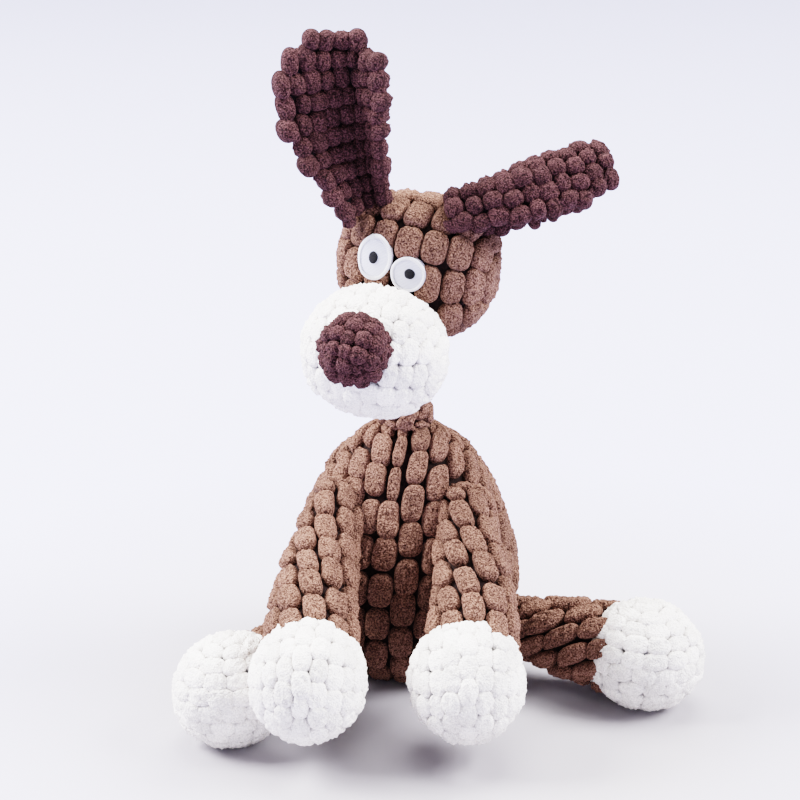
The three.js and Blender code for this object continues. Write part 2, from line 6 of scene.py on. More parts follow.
import bpy
import numpy as np
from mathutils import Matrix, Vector


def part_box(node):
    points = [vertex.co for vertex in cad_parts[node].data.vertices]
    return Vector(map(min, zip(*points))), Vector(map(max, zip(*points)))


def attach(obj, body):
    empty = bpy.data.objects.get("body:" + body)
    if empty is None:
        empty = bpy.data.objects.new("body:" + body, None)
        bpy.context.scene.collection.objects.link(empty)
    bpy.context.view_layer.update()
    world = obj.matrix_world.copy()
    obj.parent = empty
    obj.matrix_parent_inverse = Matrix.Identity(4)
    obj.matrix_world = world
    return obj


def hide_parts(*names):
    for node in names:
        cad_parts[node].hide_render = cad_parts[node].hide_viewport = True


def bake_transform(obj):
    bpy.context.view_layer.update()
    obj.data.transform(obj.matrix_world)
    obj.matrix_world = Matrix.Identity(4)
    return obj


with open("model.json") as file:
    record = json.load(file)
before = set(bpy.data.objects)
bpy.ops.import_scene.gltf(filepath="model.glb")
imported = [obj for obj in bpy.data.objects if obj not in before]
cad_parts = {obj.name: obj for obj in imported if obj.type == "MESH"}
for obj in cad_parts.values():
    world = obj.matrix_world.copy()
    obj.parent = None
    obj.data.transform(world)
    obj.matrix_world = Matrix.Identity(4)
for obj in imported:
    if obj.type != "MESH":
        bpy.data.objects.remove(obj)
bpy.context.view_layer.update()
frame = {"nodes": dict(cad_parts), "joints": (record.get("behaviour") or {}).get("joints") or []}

MM = 0.001
TINY = 1e-9

# Cloth: depths of the backing and filling under a form's surface, and width of a seam
PILE = 2.6 * MM
FILL_DEPTH = 3.8 * MM
SEAM_WIDTH = 2.2 * MM
SKIN_ROWS, SKIN_COLUMNS = 40, 56

# Filling: lumps like the pile's curl, but longer, and how far it is drawn in
FILL_ROWS, FILL_COLUMNS = 30, 32
LUMP_STRETCH = 6
LUMP_DEPTH = 0.3 * MM
FILL_DRAWN_IN = 0.5 * MM

# Kinds of tufts; pairs are across and along the wale
CORN = dict(
    pitch=(8.7 * MM, 12.3 * MM),  # from one tuft to the next
    fills=(1.03, 1.04),  # share of the pitch that it fills
    relief=2.8 * MM,  # how deep its edge lies under the form's surface
    proud=0.5 * MM,  # how high its top stands over that, on average
    taper=0.5,  # how much narrower its ends are
    square=6,  # power of its plan, where 2 is an ellipse
    dome=6,  # power of its top, flatter as it grows
    cells=(18, 24),  # cells of its mesh
    jitter=0.06,  # how uneven its size, place and turn are
    fuzz=0.3 * MM,  # how deep its curls are
)
SMALL_CORN = dict(CORN, pitch=(8.6 * MM, 11.4 * MM), fills=(0.98, 1.04))
NECK_CORN = dict(CORN, pitch=(6.3 * MM, 8 * MM), relief=2.4 * MM)
WHITE_BOBBLE = dict(
    pitch=(5.3 * MM, 7.7 * MM), fills=(1.37, 1.33), relief=1.9 * MM, proud=0.4 * MM,
    taper=0.8, square=3.2, dome=4.5, cells=(14, 18), jitter=0.08, fuzz=0.3 * MM,
)
DARK_BOBBLE = dict(
    pitch=(5.3 * MM, 5.6 * MM), fills=(1.24, 1.24), relief=2.4 * MM, proud=0.7 * MM,
    taper=0.1, square=2.4, dome=2.6, cells=(14, 16), jitter=0.16, fuzz=0.36 * MM,
)
NOSE_BOBBLE = dict(DARK_BOBBLE, pitch=(5 * MM, 5.2 * MM), fills=(1.36, 1.34), relief=1.8 * MM, jitter=0.2)
ROOTED = 0.5 * MM  # how much deeper the edge is rooted
TAPER_POWER = 4  # a tuft narrows with this power of the way to its end

# How deep in a neighbour the middle of a tuft may lie before the tuft is left out
BURIED = dict(
    torso=3.5 * MM, neck=6 * MM, head=1.5 * MM, muzzle=2 * MM, nose=3 * MM, sleeve=0.5 * MM, paw=2 * MM,
)

# Curl of the pile: its waves, their length, and the shortest and longest as shares of it
CURL_WAVES = 26
CURL_LENGTH = 1.25 * MM
CURL_SPREAD = 0.75, 1.9
CURL_SEED = 3

# Rows of tufts in a wale: where the first lies and how they scatter, as shares of their pitch
ROW_START = 0.4
ROW_SCATTER = 0.03

# Wales: how far past the seam a middle may lie, in wales, and how much they narrow with the form
PAST_SEAM = 0.47
NARROWING = 0.95
LEAST_SCALE = 0.001 * MM  # at the poles

# Torso: heights as shares of its own, radii as shares of its widest
TORSO_SHARES = [
    (0, 0), (0, 0.45), (0.012, 0.66), (0.08, 0.84), (0.19, 0.955), (0.36, 1), (0.5, 0.985),
    (0.618, 0.9), (0.758, 0.765), (0.85, 0.645), (0.92, 0.5), (0.975, 0.34), (1, 0.18), (1, 0),
]
TWIST = math.radians(-17)  # of the wales at the foot, against the top
FIRST_WALES = {"left": 0, "right": 1}  # counted from the front

# Dart at the chest: where it starts up the meridian, and its width and take in wales
DART_FROM, DART_WIDTH, DART_TAKE = 0.7, 0.56, 0.22

# Sleeves: radii as shares of the root's, along the way from the root's middle to the paw's
LEG_ROOT = 9.8 * MM
ROOT_SHARES = [(-1, 0), (-0.95, 0.31), (-0.71, 0.71), (-0.31, 0.95)]
LEG_SHARES = [(0.06, 1), (0.2, 1.1), (0.45, 1.3), (0.7, 1.47), (0.88, 1.52), (1.02, 1.42)]
FRONT_BOW = 2 * MM
FRONT_SEAM, HIND_SEAM = (0, 1, 0.4), (0, 0, -1)
LEGS = {
    "front_left": dict(joint="shoulder_left", out=1, bow=FRONT_BOW, seam=FRONT_SEAM),
    "front_right": dict(joint="shoulder_right", out=-1, bow=FRONT_BOW, seam=FRONT_SEAM),
    "hind_left": dict(joint="hip_left", out=1, bow=0, seam=HIND_SEAM),
    "hind_right": dict(joint="hip_right", out=-1, bow=0, seam=HIND_SEAM),
}
PAW_RADIUS = 17.9 * MM
PAW_STRETCH = 1.1

# Neck: radii of its foot and rounded end, its waist as a share of the foot, and the end's height
NECK_ROOT = 8.4 * MM
NECK_BALL = 9.2 * MM
NECK_WAIST = 0.92
NECK_CROWN = 0.8

# Head, muzzle and nose in the head's own axes, measured from the head's middle
HEAD_HALF = np.array([26.2, 21, 22.4]) * MM
HEAD_SQUARENESS = 2.5
HEAD_SEAT = 4.4 * MM  # how deep in the head it nods
HEAD_SHIFT = -1.6 * MM
MUZZLE_HALF = np.array([23.4, 21.5, 20.4]) * MM
MUZZLE_PLACE = np.array([-1.5, -32.9, -21.6]) * MM
MUZZLE_SQUARENESS = 2.1
NOSE_HALF = np.array([10.9, 11.4, 10.9]) * MM
NOSE_PLACE = np.array([-2.5, -53.4, -15.4]) * MM
ROUND = 2

# Ears: seats in shares of the head's half sizes, routes in shares of the length
EAR_LENGTH = 58 * MM
EAR_HALF_WIDTH = 21 * MM
EAR_HALF_THICKNESS = 2.55 * MM
EAR_CREASE = 4.5 * MM  # way over which the fold turns
EAR_BEND = 7 * MM  # length along the ear from its seat
EAR_PLACE_SHARES = (-0.04, 0, 0.143, 0.286, 0.429, 0.571, 0.714, 0.857, 0.95, 1, 1.01)
EARS = {
    "right": dict(
        seat=(-0.58, -0.34, 0.84), opens=(-0.02, -1, 0), fold=(76, 26), crease=0.3,
        widths=(0.5, 0.52, 0.64, 0.79, 0.93, 1, 0.98, 0.82, 0.46, 0.2, 0),
        route=[
            (0, 0, 0), (-0.075, -0.02, 0.215), (-0.165, -0.035, 0.475), (-0.22, -0.05, 0.71),
            (-0.25, -0.05, 0.92),
        ],
    ),
    "left": dict(
        seat=(0.31, -0.36, 1.1), opens=(0.32, -0.1, -0.94), fold=(80, 72), crease=-0.1,
        widths=(0.66, 0.7, 0.78, 0.87, 0.95, 1, 1, 0.94, 0.78, 0.5, 0),
        route=[(0, 0, 0), (0.2, 0.08, 0.13), (0.4, 0.2, 0.26), (0.57, 0.34, 0.33), (0.71, 0.47, 0.37)],
    ),
}

# Bobbles of an ear: how far in the first and last rows lie, and how far rows are staggered
EAR_ROW_FIRST, EAR_ROW_LAST = 0.3, 0.5
EAR_ROW_STAGGER = 0.3
RIM_BOBBLE = dict(DARK_BOBBLE, pitch=(3.8 * MM, 5.2 * MM), relief=2.4 * MM, proud=0.5 * MM, dome=2.2)
RIM_SUNK = 0.9 * MM

# Backing of an ear's leaf: how far it stays inside the edge, passes the root and is lifted
EAR_HEM = 2.4 * MM
EAR_ROOT_LAP = 1 * MM
EAR_SKIN_LIFT = 0.5 * MM
EAR_SKIN_ROWS, EAR_SKIN_COLUMNS = 26, 17

# Eyes, in millimetres: sewn patches with a stitched rim, in the head's axes from its middle
EYES = {
    "right": dict(place=(-9.9, 4.6), half=(5.9, 7.3), pupil=(-10.1, 4.7), pupil_half=(1.6, 2)),
    "left": dict(place=(2.2, 2.0), half=(5.8, 5.7), pupil=(2.8, 2.4), pupil_half=(1.8, 1.7)),
}
EYE_RINGS, EYE_SPOKES = 20, 264
EYE_LIFT = 0.4 * MM
EYE_SKIRT = 2 * MM
EYE_RIM_SHARE = 0.82
EYE_RIM_RISE = 0.32 * MM
STITCHES_ROUND_EYE = 66
STITCH_DEPTH = 0.5
STITCH_PHASE_LENGTH = 0.075 * MM
PUPIL_RISE = 0.7 * MM
PUPIL_DOME = 4

# Unevenness of an eye's edge: size, waves round it and phase
EYE_WOBBLE = [(0.012, 3, 1), (0.01, 5, 0)]

# Tufts by an eye, in shares of its half sizes: left out up to the first, pressed to the next
UNDER_EYE_SHARE = 0.6
PRESSED_SHARE = 0.94
PRESS_FADE = 0.16
PRESSED = 0.4 * MM

# Camera: degrees round the toy and above the floor, and what it looks at, from the torso's foot
CAMERA_AZIMUTH, CAMERA_ELEVATION = 6, 18
CAMERA_DISTANCE = 750 * MM
CAMERA_LENS, CAMERA_SENSOR = 101.25, 36
CAMERA_TARGET = np.array([-2.1, -0.2, 92.8]) * MM

DEGREES = 360
UPRIGHT = np.array([[0, 0, 1], [1, 0, 0], [0, 1, 0]])
SEED = 7
rng = np.random.default_rng(SEED)


def joint_place(name):
    joint = next(j for j in frame["joints"] if j["name"] == name)
    return np.array(joint["pos_m"]), np.array(joint["axis"], float)


def box_middle(node):
    low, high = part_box(node)
    return (np.array(low) + np.array(high)) / 2


def unit(vector):
    return vector / np.linalg.norm(vector)


def smooth_line(points, count, steps=24):
    """Points on a smooth curve through the given ones, evenly spaced, and how far along each lies."""
    points = np.asarray(points, float)
    padded = np.vstack([2 * points[0] - points[1], points, 2 * points[-1] - points[-2]])
    t = np.linspace(0, len(points) - 1, steps * (len(points) - 1) + 1)
    i = np.minimum(t.astype(int), len(points) - 2)
    f = (t - i)[:, None]
    a, b, c, d = (padded[i + k] for k in range(4))
    dense = (2 * b + (c - a) * f + (2 * a - 5 * b + 4 * c - d) * f**2 + (3 * b - 3 * c + d - a) * f**3) / 2
    return evenly(dense, count)


def meridian(places, radii, count):
    """A smooth meridian through (place along the axis, radius)."""
    s, line = smooth_line(np.stack([places, radii], axis=1), count)
    return s, np.stack([line[:, 0], np.maximum(line[:, 1], 0)], axis=1)


def evenly(dense, count):
    reach = np.concatenate([[0], np.cumsum(np.linalg.norm(np.diff(dense, axis=0), axis=1))])
    even = np.linspace(0, reach[-1], count)
    return even, np.stack([np.interp(even, reach, column) for column in dense.T], axis=1)


def bulge(value, squareness):
    return np.sign(value) * np.abs(value) ** (2 / squareness)


def circle(steps=DEGREES):
    """Turn round a circle, and its points."""
    turn = np.linspace(0, 2 * np.pi, steps + 1)
    return turn, np.stack([np.cos(turn), np.sin(turn)], axis=1)


def faces_between(corners):
    """Four-sided faces between the corners of a grid."""
    rings = corners[:-1, :-1], corners[:-1, 1:], corners[1:, 1:], corners[1:, :-1]
    return np.stack(rings, axis=-1).reshape(-1, 4)


class Form:
    """A round form: a meridian of (place along its axis, scale), and a section that this scales."""

    def __init__(self, origin, axes, meridian, section, sway=None, twist=0):
        self.origin = np.asarray(origin, float)
        self.axes = np.asarray(axes, float)
        self.s, self.line = meridian
        self.a, self.ring = section
        self.slope = np.gradient(self.line, self.s, axis=0)
        self.turn = np.gradient(self.ring, self.a, axis=0)
        self.sway = sway
        self.twist = twist

    def at(self, s, a, h):
        """Points a height h above the surface, at s along the meridian and a round the section."""
        a = (a + self.twist * (1 - s / self.s[-1])) % self.a[-1]
        x, scale = (np.interp(s, self.s, self.line[:, k]) for k in range(2))
        dx, dscale = (np.interp(s, self.s, self.slope[:, k]) for k in range(2))
        p, q = (np.interp(a, self.a, self.ring[:, k]) for k in range(2))
        dp, dq = (np.interp(a, self.a, self.turn[:, k]) for k in range(2))
        normal = np.stack([dscale * (dp * q - dq * p), dx * dq, -dx * dp], axis=-1)
        normal /= np.maximum(np.linalg.norm(normal, axis=-1, keepdims=True), TINY)
        local = np.stack([x, scale * p, scale * q], axis=-1) + normal * np.asarray(h)[..., None]
        if self.sway is not None:
            local[..., 1:] += self.sway(local[..., 0])
        return self.origin + local @ self.axes

    def scale_at(self, s):
        return np.interp(s, self.s, self.line[:, 1])

    def depth(self, points):
        """How far inside the surface points lie, roughly; negative outside."""
        local = (points - self.origin) @ self.axes.T
        if self.sway is not None:
            local[..., 1:] -= self.sway(local[..., 0])
        order = np.argsort(self.line[:, 0], kind="stable")
        scale = np.interp(local[..., 0], self.line[order, 0], self.line[order, 1], left=0, right=0)
        angle = np.arctan2(local[..., 2], local[..., 1])
        bearing = np.unwrap(np.arctan2(self.ring[:, 1], self.ring[:, 0]))
        reach = np.interp(angle % (2 * np.pi), bearing, np.linalg.norm(self.ring, axis=1), period=2 * np.pi)
        return scale * reach - np.linalg.norm(local[..., 1:], axis=-1)


def oval_section(half, squareness):
    """Evenly spaced points round an oval with these half sizes."""
    _, ring = circle(8 * DEGREES)
    return evenly(bulge(ring, squareness) * half, DEGREES + 1)


def pillow_form(middle, axes, half, squareness, count=400):
    """Superellipsoid with its poles on the first axis."""
    rise = np.linspace(-np.pi / 2, np.pi / 2, 4 * count)
    reach = max(half[1], half[2])
    line = np.stack([half[0] * bulge(np.sin(rise), squareness), bulge(np.cos(rise), squareness)], axis=1)
    s, even = evenly(line * [1, reach], count)
    return Form(middle, axes, (s, even / [1, reach]), oval_section(half[1:], squareness))


def tuft_template(kind):
    """Plan (-1 to 1 each way) and rise (0 at the rim, 1 on top) of a tuft's points, and its faces."""
    across, along = kind["cells"]
    s, t = np.meshgrid(np.linspace(-1, 1, across + 1), np.linspace(-1, 1, along + 1))
    rim = np.maximum(abs(s), abs(t))
    angle = np.arctan2(t, s)
    out = np.sin(rim * np.pi / 2)
    square = kind["square"]
    reach = (abs(np.cos(angle)) ** square + abs(np.sin(angle)) ** square) ** (-1 / square)
    x, y = out * reach * np.cos(angle), out * reach * np.sin(angle)
    x = x * (1 - kind["taper"] * abs(y) ** TAPER_POWER)
    rise = np.sqrt(np.clip(1 - out ** kind["dome"], 0, 1))
    faces = faces_between(np.arange(x.size).reshape(x.shape))
    return x.ravel(), y.ravel(), rise.ravel(), faces


def curl(points):
    """Sum of waves in all directions, about -1 to 1, that makes the pile look curled."""
    waves = np.random.default_rng(CURL_SEED)
    direction = waves.normal(size=(CURL_WAVES, 3))
    direction /= np.linalg.norm(direction, axis=1, keepdims=True)
    length = CURL_LENGTH * waves.uniform(*CURL_SPREAD, CURL_WAVES)
    phase = waves.uniform(0, 2 * np.pi, CURL_WAVES)
    total = np.zeros(points.shape[:-1])
    for k in range(CURL_WAVES):
        total += np.sin(points @ direction[k] * (2 * np.pi / length[k]) + phase[k])
    return total / math.sqrt(CURL_WAVES)


class Cloth:
    """Collects tufts and skins, and makes one mesh of them."""

    def __init__(self, name, pile, backing):
        self.name = name
        self.materials = [pile, backing]
        self.points, self.faces, self.rise, self.tint, self.kinds = [], [], [], [], []
        self.count = 0

    def add(self, points, faces, rise, tint, kind):
        self.points.append(points)
        self.faces.append(faces + self.count)
        self.rise.append(rise)
        self.tint.append(tint)
        self.kinds.append(np.full(len(faces), kind, np.int32))
        self.count += len(points)

    def tufts(self, kind, centres, place, keep=None):
        """Tufts of a kind about centres, which are (across, along, share of the kind's width); place maps
        (across, along, height) to points, and keep picks tufts by their middles."""
        if not len(centres):
            return
        x, y, rise, faces = tuft_template(kind)
        centres = np.asarray(centres, float)
        jitter = kind["jitter"]
        half = np.array(kind["pitch"]) * kind["fills"] / 2
        sizes = half * rng.uniform(1 - jitter, 1 + jitter, (len(centres), 2))
        sizes[:, 0] *= centres[:, 2]
        tilt = rng.normal(0, jitter, len(centres))[:, None]
        moves = rng.normal(0, jitter / 2, (len(centres), 2)) * half
        tops = kind["proud"] * rng.uniform(0, 2, len(centres))[:, None]
        tint = rng.uniform(-1, 1, len(centres))
        u, v = x * sizes[:, :1], y * sizes[:, 1:]
        across = centres[:, :1] + moves[:, :1] + u * np.cos(tilt) - v * np.sin(tilt)
        along = centres[:, 1:2] + moves[:, 1:] + u * np.sin(tilt) + v * np.cos(tilt)
        foot = -kind["relief"] - ROOTED
        height = foot + rise * (tops - foot)
        flat = place(across, along, np.zeros_like(height))
        stir = curl(flat) * kind["fuzz"] + rng.normal(0, kind["fuzz"] / 3, height.shape)
        points = place(across, along, height + stir * rise)
        middles = points[:, len(x) // 2]
        chosen = np.ones(len(centres), bool) if keep is None else keep(middles)
        points, tint = points[chosen], tint[chosen]
        if not len(points):
            return
        faces = faces[None] + (np.arange(len(points)) * len(x))[:, None, None]
        self.add(points.reshape(-1, 3), faces.reshape(-1, 4), np.tile(rise, len(points)),
                 np.repeat(tint, len(x)), 0)

    def skin(self, grid, kind=1, closed=False):
        """Skin over a grid of points; closed joins its last column to its first."""
        points = grid.reshape(-1, 3)
        corners = np.arange(len(points)).reshape(grid.shape[:2])
        if closed:
            corners = np.hstack([corners, corners[:, :1]])
        self.add(points, faces_between(corners), np.zeros(len(points)), np.zeros(len(points)), kind)

    def make(self, floor=None):
        """Object of all that was collected; floor is the lowest that it may reach."""
        points = np.vstack(self.points)
        if floor is not None:
            points[:, 2] = np.maximum(points[:, 2], floor)
        faces = np.vstack(self.faces).astype(np.int32)
        mesh = bpy.data.meshes.new(self.name)
        mesh.vertices.add(len(points))
        mesh.vertices.foreach_set("co", points.astype(np.float32).ravel())
        mesh.loops.add(faces.size)
        mesh.loops.foreach_set("vertex_index", faces.ravel())
        mesh.polygons.add(len(faces))
        mesh.polygons.foreach_set("loop_start", np.arange(0, faces.size, 4, dtype=np.int32))
        mesh.polygons.foreach_set("material_index", np.concatenate(self.kinds))
        mesh.polygons.foreach_set("use_smooth", np.ones(len(faces), bool))
        for name, values in (("rise", self.rise), ("tint", self.tint)):
            layer = mesh.attributes.new(name, "FLOAT", "POINT")
            layer.data.foreach_set("value", np.concatenate(values).astype(np.float32))
        for material in self.materials:
            mesh.materials.append(material)
        mesh.update(calc_edges=True)
        mesh.validate()
        obj = bpy.data.objects.new(self.name, mesh)
        bpy.context.scene.collection.objects.link(obj)
        return obj


def skin_grid(form, h, a_range=None, rows=SKIN_ROWS, columns=SKIN_COLUMNS):
    """Grid of points a height h above a form, all round it or over a range of its section."""
    s = np.linspace(0, form.s[-1], rows)[:, None]
    low, high = a_range or (0, form.a[-1])
    a = np.linspace(low, high, columns + 1)[None]
    if a_range is None:
        a = a[:, :-1]
    s, a = np.broadcast_arrays(s, a)
    return form.at(s, a, np.full(s.shape, h))


def wales_along(form, kind, low, high, first=0.5, sewn_low=True, dart=None):
    """Centres and place of tufts in wales along the meridian, counted from low to the seam at high."""
    widest = form.line[:, 1].max()
    pitch_across, pitch_along = kind["pitch"]
    way = math.copysign(1, high - low)
    reach = abs(high - low)

    def wale_scale(s):
        return widest * (np.maximum(form.scale_at(s), LEAST_SCALE) / widest) ** NARROWING

    centres = []
    for wale in range(int(reach * widest / pitch_across) + 2):
        for row in range(-1, int(form.s[-1] / pitch_along) + 1):
            s = (row + (wale % 2) / 2 + ROW_START + rng.normal(0, ROW_SCATTER)) * pitch_along
            c = (wale + first) * pitch_across
            width = DART_WIDTH if dart is not None and c == 0 and s > dart else 1
            if 0 < s < form.s[-1] and c < reach * wale_scale(s) + PAST_SEAM * pitch_across:
                centres.append((c, s, width))

    def place(c, s, h):
        s = np.clip(s, 0, form.s[-1])
        if dart is not None:
            closed = np.clip((s - dart) / pitch_along + 1, 0, 1) * np.clip(c / pitch_across, 0, 1)
            c = c - DART_TAKE * pitch_across * closed
        a = np.clip(c / wale_scale(s), 0 if sewn_low else -reach, reach)
        from_seam = (np.minimum(a, reach - a) if sewn_low else reach - a) * form.scale_at(s)
        sunk = np.clip(from_seam / SEAM_WIDTH, 0, 1)
        return form.at(s, low + way * a, (h + PILE) * np.sqrt(sunk * (2 - sunk)) - PILE)

    return centres, place


def wales_around(form, kind):
    """Centres and place of tufts in wales round the section, ring by ring between the poles."""
    pitch_across, pitch_along = kind["pitch"]
    half = form.s[-1] / 2
    rings = max(1, round(half / pitch_across - 0.5))
    pitch = half / (rings + 0.5)
    around = form.a[-1]
    centres = []
    for ring in range(-rings, rings + 1):
        s = half + ring * pitch
        count = max(2, round(float(form.scale_at(s)) * around / pitch_along))
        centres += [(s, (step + (ring % 2) / 2) * around / count, around / count) for step in range(count)]
    middles, angles, shares = np.array(centres).T

    def place(s, v, h):
        return form.at(np.clip(s, 0, form.s[-1]), angles[:, None] + v / pitch_along * shares[:, None], h)

    return np.stack([middles, np.zeros_like(middles), np.ones_like(middles)], axis=1), place


# Places that the forms are built on, from the frame's joints
NECK_FOOT, _ = joint_place("head_turn")
TORSO_FOOT = NECK_FOOT * [1, 1, 0]
NOD_PIVOT, NOD_AXIS = joint_place("head_nod")
head_x = unit(NOD_AXIS)
head_y = unit(joint_place("ear_left_flop")[1])
HEAD_AXES = np.array([head_x, head_y, np.cross(head_x, head_y)])
HEAD_MIDDLE = NOD_PIVOT + np.array([HEAD_SHIFT, 0, HEAD_HALF[2] - HEAD_SEAT]) @ HEAD_AXES


def torso_form():
    low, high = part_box("torso_left_panel")
    height = high.z
    radius = high.x - TORSO_FOOT[0]
    depth = (high.y - low.y) / (2 * radius)
    heights, radii = np.array(TORSO_SHARES).T
    line = meridian(heights * height, radii * radius, count=400)
    turn, ring = circle(2 * DEGREES)
    return Form(TORSO_FOOT, UPRIGHT, line, (turn, ring * [1, depth]), twist=TWIST)


def neck_form():
    way = NOD_PIVOT - NECK_FOOT
    length = way[2]
    crown = length + NECK_CROWN * NECK_BALL
    heights = [0, 0, length / 4, length / 2, length - NECK_BALL, length, crown]
    waist = NECK_WAIST * NECK_ROOT
    radii = [0, NECK_ROOT, waist, waist, NECK_ROOT, NECK_BALL, 0]
    line = meridian(heights, radii, count=200)
    lean = np.array([way[0] / length, 0])
    return Form(NECK_FOOT, UPRIGHT, line, circle(), sway=lambda x: x[..., None] * lean)


def leg_frame(name):
    """Pivot, the way from there to the paw's middle, and axes: along, outward and across."""
    leg = LEGS[name]
    pivot, _ = joint_place(leg["joint"])
    reach = box_middle(f"{name}_paw_stuffing") - pivot
    along = unit(reach)
    seam = np.array(leg["seam"], float)
    back = unit(seam - seam @ along * along)
    return pivot, reach, np.array([along, -back, np.cross(along, -back)])


def leg_form(name):
    leg = LEGS[name]
    pivot, reach, axes = leg_frame(name)
    length = np.linalg.norm(reach)
    shares = np.vstack([np.array(ROOT_SHARES) * LEG_ROOT, np.array(LEG_SHARES) * [length, LEG_ROOT]])
    swing = unit((axes @ [leg["out"], 0, 0])[1:]) * leg["bow"]

    def sway(x):
        return np.sin(np.pi * np.clip(x / length, 0, 1))[..., None] * swing

    return Form(pivot, axes, meridian(*shares.T, count=260), circle(), sway)


def paw_form(name):
    pivot, reach, _ = leg_frame(name)
    along = unit(reach)
    level = unit(np.cross([0, 0, 1], along))
    pole = level if name.startswith("front") else np.cross(along, level)
    axes = np.array([pole, along, np.cross(pole, along)])
    half = PAW_RADIUS * np.array([1, PAW_STRETCH, 1])
    return pillow_form(pivot + reach, axes, half, ROUND)


def head_part(place, half, squareness):
    return pillow_form(HEAD_MIDDLE + np.asarray(place) @ HEAD_AXES, HEAD_AXES, half, squareness)


class Ear:
    """A folded leaf, as (way out from the crease, way along from the seat, offset towards the opening)."""

    def __init__(self, side):
        ear = EARS[side]
        self.seat = HEAD_MIDDLE + (np.array(ear["seat"]) * HEAD_HALF) @ HEAD_AXES
        self.s, self.line = smooth_line(np.array(ear["route"]) * EAR_LENGTH, count=120)
        self.slope = np.gradient(self.line, self.s, axis=0)
        self.open = unit(np.array(ear["opens"], float))
        self.fold = np.radians(ear["fold"])
        self.length = self.s[-1]
        shares = np.stack([EAR_PLACE_SHARES, ear["widths"]], axis=1)
        _, self.widths = smooth_line(shares * [self.length, EAR_HALF_WIDTH], count=300)
        self.crease = ear["crease"] * EAR_HALF_WIDTH

    def at(self, arc, along, offset):
        arc, along, offset = np.broadcast_arrays(arc, along, offset)
        tangent = np.stack([np.interp(along, self.s, column) for column in self.slope.T], axis=-1)
        tangent /= np.linalg.norm(tangent, axis=-1, keepdims=True)
        middle = np.stack([np.interp(along, self.s, column) for column in self.line.T], axis=-1)
        middle = middle + tangent * (along - np.clip(along, 0, self.length))[..., None]
        across = np.cross(self.open, tangent)
        across /= np.linalg.norm(across, axis=-1, keepdims=True)
        inward = np.cross(tangent, across)
        share = np.clip(along / self.length, 0, 1)
        bend = self.fold[0] + (self.fold[1] - self.fold[0]) * share
        x, y = fold_section(arc, bend)
        lean = bend * np.tanh(arc / EAR_CREASE)
        x, y = x - offset * np.sin(lean), y + offset * np.cos(lean)
        return self.seat + (middle + across * x[..., None] + inward * y[..., None]) @ HEAD_AXES

    def half_width(self, along):
        return np.interp(along, self.widths[:, 0], self.widths[:, 1])

    def outline(self, pitch):
        """Points round the free edge, and the ways along it and off it, in (way out, way along)."""
        near = self.widths * [1, -1] + [0, self.crease]
        far = self.widths[::-1] + [0, self.crease]
        _, edge = evenly(np.vstack([near, far])[:, ::-1], count=600)
        reach = np.linalg.norm(np.diff(edge, axis=0), axis=1).sum()
        _, points = evenly(edge, int(reach / pitch) + 1)
        ways = np.gradient(points, axis=0)
        ways /= np.linalg.norm(ways, axis=1, keepdims=True)
        return points, ways, np.stack([-ways[:, 1], ways[:, 0]], axis=1)


def fold_section(arc, bend, steps=12):
    """Across and towards the opening, for a way walked out from the crease."""
    stride = np.abs(arc) / steps
    across, inward = np.zeros_like(stride), np.zeros_like(stride)
    for step in range(steps):
        lean = bend * np.tanh((step + 1 / 2) * stride / EAR_CREASE)
        across += stride * np.cos(lean)
        inward += stride * np.sin(lean)
    return np.sign(arc) * across, inward


def noisy(tree, scale, detail=2, roughness=0.6):
    """Noise on the piece's own coordinates; scale is its grain in metres."""
    noise = tree.nodes.new("ShaderNodeTexNoise")
    noise.inputs["Scale"].default_value = 1 / scale
    noise.inputs["Detail"].default_value = detail
    noise.inputs["Roughness"].default_value = roughness
    return noise.outputs["Fac"]


def cells(tree, scale):
    """Distance from the middles of small cells; scale is their size in metres."""
    voronoi = tree.nodes.new("ShaderNodeTexVoronoi")
    voronoi.inputs["Scale"].default_value = 1 / scale
    return voronoi.outputs["Distance"]


def on_surface(tree, *textures):
    coordinates = tree.nodes.new("ShaderNodeTexCoord")
    for texture in textures:
        tree.links.new(coordinates.outputs["Object"], texture.node.inputs["Vector"])


def attribute(tree, name):
    node = tree.nodes.new("ShaderNodeAttribute")
    node.attribute_name = name
    return node.outputs["Fac"]


def spread(tree, value, low, high, to_low=0, to_high=1):
    node = tree.nodes.new("ShaderNodeMapRange")
    node.inputs["From Min"].default_value = low
    node.inputs["From Max"].default_value = high
    node.inputs["To Min"].default_value = to_low
    node.inputs["To Max"].default_value = to_high
    tree.links.new(value, node.inputs["Value"])
    return node.outputs["Result"]


def mixed(tree, factor, low, high):
    """Mix of two colours, each a socket or a plain colour."""
    node = tree.nodes.new("ShaderNodeMix")
    node.data_type = "RGBA"
    tree.links.new(factor, node.inputs["Factor"])
    for name, colour in (("A", low), ("B", high)):
        socket = next(i for i in node.inputs if i.name == name and i.type == "RGBA")
        if isinstance(colour, tuple):
            socket.default_value = (*colour, 1)
        else:
            tree.links.new(colour, socket)
    return next(o for o in node.outputs if o.type == "RGBA")


def calculated(tree, operation, first, second):
    node = tree.nodes.new("ShaderNodeMath")
    node.operation = operation
    for socket, value in zip(node.inputs, (first, second)):
        if isinstance(value, (int, float)):
            socket.default_value = value
        else:
            tree.links.new(value, socket)
    return node.outputs[0]


def bumped(tree, shader, *layers):
    """Bumps over one another; each layer is (height, distance in metres, strength)."""
    normal = None
    for height, distance, strength in layers:
        bump = tree.nodes.new("ShaderNodeBump")
        bump.inputs["Distance"].default_value = distance
        bump.inputs["Strength"].default_value = strength
        tree.links.new(height, bump.inputs["Height"])
        if normal is not None:
            tree.links.new(normal, bump.inputs["Normal"])
        normal = bump.outputs["Normal"]
    tree.links.new(normal, shader.inputs["Normal"])


SHEEN_ROUGHNESS = 0.5
SPECULAR = 0.2


